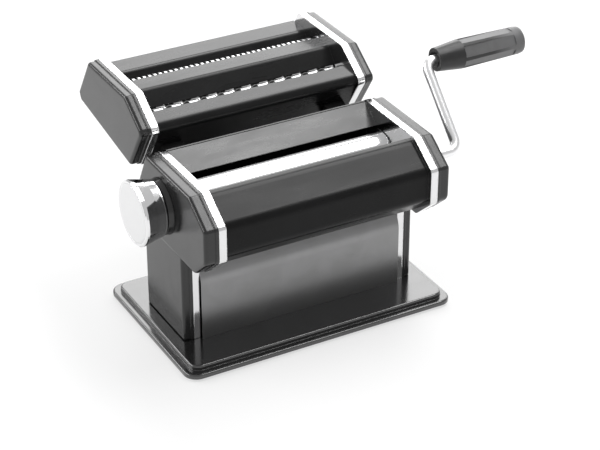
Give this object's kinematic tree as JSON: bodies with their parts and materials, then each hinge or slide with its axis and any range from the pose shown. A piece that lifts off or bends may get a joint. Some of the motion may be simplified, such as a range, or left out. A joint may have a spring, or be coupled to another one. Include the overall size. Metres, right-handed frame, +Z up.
{
  "type": "pasta roller machine",
  "caption": "Hand-cranked pasta machine: smooth rollers with a thickness knob, feed hopper and outlet chute, lift-off unit of wide and narrow cutting rollers, bent crank.",
  "frame": {"origin": "centre of the base, on the surface that the feet stand on", "axes": "+X along the rollers towards the crank, -Y the front of the machine, +Z up"},
  "size_m": [0.3098, 0.2014, 0.1595],
  "materials": {
    "black_paint": "semi-gloss black enamel",
    "base_enamel": "gloss black enamel",
    "cover_moulding": "black moulding with a soft gloss",
    "chrome_plate": "bright chrome on pressed steel",
    "roller_chrome": "polished chrome",
    "plain_steel": "turned steel",
    "cutter_steel": "fine turned, bright",
    "knob_satin": "satin, turned face",
    "grip_plastic": "satin black moulding",
    "bush_plastic": "natural nylon",
    "foot_rubber": "black rubber"
  },
  "bodies": {
    "stand": {"base_plate": "base_enamel", "rubber_feet": "foot_rubber", "base_screws": "plain_steel", "side_plate_left": "chrome_plate", "side_plate_right": "chrome_plate", "end_cover_left": "cover_moulding", "end_cover_right": "cover_moulding", "front_cover": "black_paint", "rear_cover": "black_paint", "hopper_plate": "black_paint", "dough_chute": "plain_steel", "front_scraper": "plain_steel", "rear_scraper": "plain_steel", "tie_rods": "plain_steel", "tie_screws": "plain_steel", "front_roller_bushes": "bush_plastic", "adjuster_bushes": "bush_plastic", "index_ring": "cover_moulding", "cutter_rails": "black_paint"},
    "front_roller": {"front_roller": "roller_chrome", "front_roller_shaft": "plain_steel", "front_gear": "plain_steel"},
    "crank": {"crank_rod": "chrome_plate", "crank_cross_pin": "plain_steel", "grip_clip": "plain_steel"},
    "grip": {"crank_grip": "grip_plastic", "grip_end_cap": "grip_plastic"},
    "adjuster": {"adjuster_shaft": "plain_steel", "knob_screw": "plain_steel"},
    "knob": {"adjuster_knob": "chrome_plate", "knob_face": "knob_satin", "index_pin": "plain_steel", "knob_spring": "plain_steel"},
    "rear_carriage": {"bearing_bracket_left": "plain_steel", "bearing_bracket_right": "plain_steel"},
    "rear_roller": {"rear_roller": "roller_chrome", "rear_gear": "plain_steel"},
    "cutter": {"cutter_plate_left": "chrome_plate", "cutter_plate_right": "chrome_plate", "cutter_cover_left": "cover_moulding", "cutter_cover_right": "cover_moulding", "cutter_front_cover": "black_paint", "cutter_middle_plate": "black_paint", "cutter_rear_plate": "black_paint", "cutter_tie_rods": "plain_steel", "cutter_tie_screws": "plain_steel", "cutter_bushes": "bush_plastic", "wide_combs": "plain_steel", "narrow_combs": "plain_steel", "cutter_channels": "black_paint"},
    "wide_front": {"wide_cutter_front": "cutter_steel", "wide_gear_front": "plain_steel"},
    "wide_rear": {"wide_cutter_rear": "cutter_steel", "wide_gear_rear": "plain_steel"},
    "narrow_front": {"narrow_cutter_front": "cutter_steel", "narrow_gear_front": "plain_steel"},
    "narrow_rear": {"narrow_cutter_rear": "cutter_steel", "narrow_gear_rear": "plain_steel"}
  },
  "joints": [
    {"name": "roller_spin", "type": "hinge", "parent": "stand", "child": "front_roller", "pos_m": [0, -0.0346, 0.1023], "axis": [1, 0, 0], "continuous": true},
    {"name": "crank_pull", "type": "slide", "parent": "front_roller", "child": "crank", "axis": [1, 0, 0], "range_m": [0, 0.02]},
    {"name": "grip_spin", "type": "hinge", "parent": "crank", "child": "grip", "pos_m": [0.16, 0.01055, 0.14906], "axis": [1, 0, 0], "continuous": true},
    {"name": "knob_turn", "type": "hinge", "parent": "stand", "child": "adjuster", "pos_m": [-0.1, -0.0078, 0.1023], "axis": [1, 0, 0], "range_deg": [0, 180]},
    {"name": "knob_pull", "type": "slide", "parent": "adjuster", "child": "knob", "axis": [-1, 0, 0], "range_m": [0, 0.004], "stiffness_N_per_m": 1500, "springref_m": -0.003, "deforming": ["knob_spring"]},
    {"name": "carriage_slide", "type": "slide", "parent": "stand", "child": "rear_carriage", "axis": [0, 1, 0], "range_m": [0, 0.0024]},
    {"name": "rear_roller_spin", "type": "hinge", "parent": "rear_carriage", "child": "rear_roller", "pos_m": [0, -0.009, 0.1023], "axis": [1, 0, 0], "continuous": true},
    {"name": "cutter_lift", "type": "slide", "parent": "stand", "child": "cutter", "axis": [0, -0.47, 0.8827], "range_m": [0, 0.03]},
    {"name": "wide_spin", "type": "hinge", "parent": "cutter", "child": "wide_front", "pos_m": [0, 0.0484, 0.1306], "axis": [1, 0, 0], "continuous": true},
    {"name": "wide_rear_spin", "type": "hinge", "parent": "cutter", "child": "wide_rear", "pos_m": [0, 0.0678, 0.1306], "axis": [1, 0, 0], "continuous": true},
    {"name": "narrow_spin", "type": "hinge", "parent": "cutter", "child": "narrow_front", "pos_m": [0, 0.0888, 0.1351], "axis": [1, 0, 0], "continuous": true},
    {"name": "narrow_rear_spin", "type": "hinge", "parent": "cutter", "child": "narrow_rear", "pos_m": [0, 0.1081, 0.1331], "axis": [1, 0, 0], "continuous": true}
  ],
  "couplings": [
    {"joint": "rear_roller_spin", "follows": "roller_spin", "ratio": -1},
    {"joint": "knob_turn", "follows": "carriage_slide", "rad_per_m": 1309},
    {"joint": "wide_rear_spin", "follows": "wide_spin", "ratio": -1},
    {"joint": "narrow_rear_spin", "follows": "narrow_spin", "ratio": -1}
  ]
}
